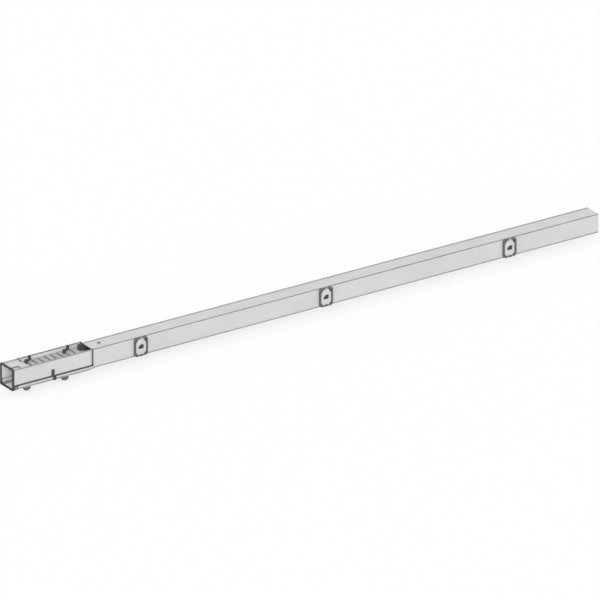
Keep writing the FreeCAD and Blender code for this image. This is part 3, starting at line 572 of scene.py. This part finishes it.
def makeBead(p):
    bm = bmesh.new()
    parts = [
        ((p["left"], -p["flange"], p["plate"]), (p["turn"], -p["inner"], p["top"])),
        ((p["turn"] - p["wide"], -p["outer"], p["top"] - p["bite"]), (p["turn"], -p["flange"], p["proud"])),
        ((p["right"] - p["wide"], p["back"], p["plate"]), (p["right"], p["flange"], p["top"])),
        ((p["right"] - p["wide"], p["flange"], p["top"] - p["bite"]), (p["right"], p["outer"], p["proud"])),
    ]
    for low, high in parts:
        part = block(low, high, p["proudSoft"] if high[2] == p["proud"] else p["soft"])
        stamp(bm, part, [Matrix.Identity(4)])
        part.free()
    finishPiece("bridgeBead", bm, sealRubber)


makeBead(bead)

# Clamps: a washer and a stack of disc springs under each lever, grips on the knobs

clamp = {"deck": 0.078, "washer": 0.0125, "washerTall": 0.0018, "foot": 0.0912, "discs": 5, "bore": 0.0044,
         "rim": 0.0085, "thick": 0.0009, "apart": 0.00002, "bite": 0.0002, "soft": 0.0004}
grips = {"count": 20, "wide": 0.0028, "inner": 0.018, "outer": 0.0199, "low": -0.0165, "high": -0.0055,
         "soft": 0.0006}


def spun(bm, outline, centre):
    # closed outline of (radius, height) turned once round the upright axis
    verts = [bm.verts.new((centre + r, 0, z)) for r, z in outline]
    edges = [bm.edges.new(pair) for pair in zip(verts, verts[1:] + verts[:1])]
    bmesh.ops.spin(bm, geom=verts + edges, cent=(centre, 0, 0), axis=(0, 0, 1), angle=math.radians(360),
                   steps=36, use_merge=True, use_duplicate=False)


def makeClampStacks(p):
    bm = bmesh.new()
    for side in ("left", "right"):
        low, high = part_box("clamp_bolt_" + side)
        centre = (low[0] + high[0]) / 2
        foot = p["deck"] - p["bite"]
        top = p["deck"] + p["washerTall"]
        spun(bm, [(p["bore"], foot), (p["washer"], foot), (p["washer"], top - p["soft"]),
                  (p["washer"] - p["soft"], top), (p["bore"], top)], centre)
        pitch = (p["foot"] - top) / p["discs"]
        rise = pitch - p["thick"] - p["apart"]  # the discs don't quite touch, so each keeps a skin of its own
        for number in range(p["discs"]):
            base = top + number * pitch
            inner, outer = (base, base + rise) if number % 2 else (base + rise, base)
            spun(bm, [(p["bore"], inner), (p["rim"], outer), (p["rim"], outer + p["thick"]),
                      (p["bore"], inner + p["thick"])], centre)
    finishPiece("clampStacks", bm, zincPlate)


def makeKnobGrips(p):
    half = p["wide"] / 2
    part = block((p["inner"], -half, p["low"]), (p["outer"], half, p["high"]), p["soft"])
    for side in ("left", "right"):
        low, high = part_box("clamp_knob_" + side)
        bm = bmesh.new()
        place = Matrix.Translation(((low[0] + high[0]) / 2, 0, 0))
        step = math.radians(360 / p["count"])
        stamp(bm, part, [place @ Matrix.Rotation(step * n, 4, "Z") for n in range(p["count"])])
        finishPiece(f"knobGrips{side.capitalize()}", bm, knobPlastic)
    part.free()


makeClampStacks(clamp)
makeKnobGrips(grips)

# Side latches with softened edges and two rivets each, no thicker than the plain ones

sideLatch = {"thin": 0.0009, "soft": 0.0008, "rivet": 0.0036, "dome": 0.00072, "heights": (0.008, 0.041)}


def mergedCopy(node):
    # the CAD node's own shape as one merged skin with whole faces
    bm = bmesh.new()
    bm.from_mesh(nodes[node].data)
    bmesh.ops.remove_doubles(bm, verts=bm.verts, dist=1e-5)
    bmesh.ops.dissolve_limit(bm, angle_limit=math.radians(1), verts=bm.verts, edges=bm.edges)
    return bm


def makeSideLatches(p):
    part = domed(p["rivet"], p["thin"], p["dome"], 24, 3)
    for side, name in ((-1, "front"), (1, "back")):
        low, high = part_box("side_latch_" + name)
        inner, outer = (high[1], low[1]) if side < 0 else (low[1], high[1])
        bm = mergedCopy("side_latch_" + name)
        squeeze = 1 - p["thin"] / abs(outer - inner)
        bmesh.ops.scale(bm, verts=bm.verts, vec=(1, squeeze, 1), space=Matrix.Translation((0, -inner, 0)))
        rounded(bm, sharpEdges(bm), p["soft"])
        seat = outer - side * p["thin"]
        stamp(bm, part, [Matrix.Translation(((low[0] + high[0]) / 2, seat, height)) @ outwards(side)
                         for height in p["heights"]])
        piece = finishPiece(f"sideLatch{name.capitalize()}", bm, blackCoat)
        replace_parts(piece, "side_latch_" + name)
    part.free()


makeSideLatches(sideLatch)

# Outlet latches: a finger plate with one corner cut away and three grip ridges

handle = {"wide": 0.026, "low": 0.036, "high": 0.056, "cutWide": 0.012, "cutTall": 0.0095, "round": 0.0022,
          "soft": 0.0006, "ridges": 3, "ridgeTall": 0.0007, "ridgeWide": 0.0014, "ridgePitch": 0.0042,
          "ridgeShift": 0.003, "ridgeInset": 0.004, "ridgeBite": 0.0004, "ridgeSoft": 0.0003}


def makeLatchHandles(p):
    half = p["wide"] / 2
    outline = [(-half, p["low"]), (half, p["low"]), (half, p["high"]), (-half + p["cutWide"], p["high"]),
               (-half, p["high"] - p["cutTall"])]
    for number in range(1, 4):
        low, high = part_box(f"outlet_latch_{number}")
        middle = (low[0] + high[0]) / 2
        plate = bmesh.new()
        verts = [plate.verts.new((middle + x, high[1], z)) for x, z in outline]
        plate.faces.new(verts)
        rounded(plate, verts, p["round"], 4, "VERTICES")
        front = pushed(plate, plate.faces[:][0], (0, low[1] - high[1], 0))
        rounded(plate, front.edges[:], p["soft"])
        for count in range(p["ridges"]):
            place = middle + p["ridgeShift"] + (count - (p["ridges"] - 1) / 2) * p["ridgePitch"]
            nearLeft = (place - p["ridgeWide"] / 2, low[1] - p["ridgeTall"], p["low"] + p["ridgeInset"])
            farRight = (place + p["ridgeWide"] / 2, low[1] + p["ridgeBite"], p["high"] - p["ridgeInset"])
            ridge = block(nearLeft, farRight, p["ridgeSoft"])
            stamp(plate, ridge, [Matrix.Identity(4)])
            ridge.free()
        piece = finishPiece(f"latchHandle{number}", plate, blackPlastic, f"flap_{number}")
        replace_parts(piece, f"outlet_latch_{number}")


makeLatchHandles(handle)

# Corner clips that hold the collar to the tray, on both sides

clip = {"left": -1.679, "right": -1.657, "low": -0.0042, "high": 0.0121, "round": 0.005, "rim": 0.0052,
        "thick": 0.0009, "proud": 0.000405}


def makeCornerClips(p):
    bm = bmesh.new()
    corners = [(p["left"], p["low"]), (p["right"], p["low"]), (p["right"], p["high"]), (p["left"], p["high"])]
    bm.faces.new([bm.verts.new((x, 0, z)) for x, z in corners])
    rounded(bm, [v for v in bm.verts if v.co.x == max(w.co.x for w in bm.verts)], p["round"], 5, "VERTICES")
    face = bm.faces[:][0]
    bmesh.ops.inset_region(bm, faces=[face], thickness=p["rim"], use_even_offset=True, use_boundary=True)
    bmesh.ops.delete(bm, geom=[face], context="FACES_ONLY")
    bmesh.ops.solidify(bm, geom=bm.faces[:], thickness=p["thick"])
    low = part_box("bottom_cover")[0]
    both = bmesh.new()
    middle = sum(v.co.y for v in bm.verts) / len(bm.verts)
    for side in (-1, 1):
        stamp(both, bm, [Matrix.Translation((0, side * (-low[1] + p["proud"]) - middle, 0))])
    bm.free()
    finishPiece("cornerClips", both, sealRubber)


makeCornerClips(clip)
print("small pieces made")

# Floor, light and background

studio = {
    "floorSize": 14.0,
    "floorGap": 0.0005,
    "floorWhite": (1.0, 1.0, 1.0),
    "floorPlain": (0.85, 0.85, 0.85),
    "shadowVeil": 0.72,  # how much white the camera sees over the floor's shadow
    "worldLevel": 0.78,
    "keyLevel": 1.25,
    "keyAzimuth": -38,  # degrees, from the front towards the left end
    "keyElevation": 31,
    "keySoft": 30,  # the sun's angle, in degrees
}


def makeStudio(p):
    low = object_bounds()[0]
    bm = bmesh.new()
    bmesh.ops.create_grid(bm, x_segments=1, y_segments=1, size=p["floorSize"] / 2)
    bmesh.ops.translate(bm, verts=bm.verts, vec=(0, 0, low[2] - p["floorGap"]))
    mesh = bpy.data.meshes.new("floor")
    bm.to_mesh(mesh)
    bm.free()
    floor = bpy.data.objects.new("floor", mesh)
    bpy.context.scene.collection.objects.link(floor)
    floor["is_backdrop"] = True

    material = bpy.data.materials.new("whiteFloor")
    material.use_nodes = True
    tree = material.node_tree
    shader = tree.nodes["Principled BSDF"]
    shader.inputs["Roughness"].default_value = 1.0
    shader.inputs["Specular IOR Level"].default_value = 0.0
    path = tree.nodes.new("ShaderNodeLightPath")
    mix = tree.nodes.new("ShaderNodeMix")
    mix.data_type = "RGBA"
    mix.inputs[6].default_value = (*p["floorPlain"], 1)
    mix.inputs[7].default_value = (*p["floorWhite"], 1)
    tree.links.new(path.outputs["Is Camera Ray"], mix.inputs["Factor"])
    tree.links.new(mix.outputs[2], shader.inputs["Base Color"])
    glow = tree.nodes.new("ShaderNodeEmission")  # strength 1 is white
    veil = tree.nodes.new("ShaderNodeMixShader")
    tree.links.new(sums(tree, "MULTIPLY", path.outputs["Is Camera Ray"], p["shadowVeil"]), veil.inputs["Fac"])
    tree.links.new(shader.outputs["BSDF"], veil.inputs[1])
    tree.links.new(glow.outputs["Emission"], veil.inputs[2])
    tree.links.new(veil.outputs["Shader"], tree.nodes["Material Output"].inputs["Surface"])
    mesh.materials.append(material)

    world = bpy.data.worlds.new("studioWorld")
    bpy.context.scene.world = world
    world.use_nodes = True
    tree = world.node_tree
    tree.nodes.clear()
    path = tree.nodes.new("ShaderNodeLightPath")
    plain = tree.nodes.new("ShaderNodeBackground")
    plain.inputs["Strength"].default_value = p["worldLevel"]
    plain.inputs["Color"].default_value = (1, 1, 1, 1)
    white = tree.nodes.new("ShaderNodeBackground")
    white.inputs["Color"].default_value = (1, 1, 1, 1)
    white.inputs["Strength"].default_value = 1.0
    seen = sums(tree, "MAXIMUM", path.outputs["Is Camera Ray"], path.outputs["Is Glossy Ray"])
    seen = sums(tree, "MAXIMUM", seen, path.outputs["Is Transmission Ray"])
    mix = tree.nodes.new("ShaderNodeMixShader")
    output = tree.nodes.new("ShaderNodeOutputWorld")
    tree.links.new(seen, mix.inputs["Fac"])
    tree.links.new(plain.outputs["Background"], mix.inputs[1])
    tree.links.new(white.outputs["Background"], mix.inputs[2])
    tree.links.new(mix.outputs["Shader"], output.inputs["Surface"])

    sun = bpy.data.lights.new("softKey", "SUN")
    sun.energy = p["keyLevel"]
    sun.angle = math.radians(p["keySoft"])
    key = bpy.data.objects.new("softKey", sun)
    key.rotation_euler = viewBack(p["keyAzimuth"], p["keyElevation"]).to_track_quat("Z", "Y").to_euler()
    bpy.context.scene.collection.objects.link(key)
    bpy.context.scene.view_settings.view_transform = "Standard"


makeStudio(studio)
print("studio ready")
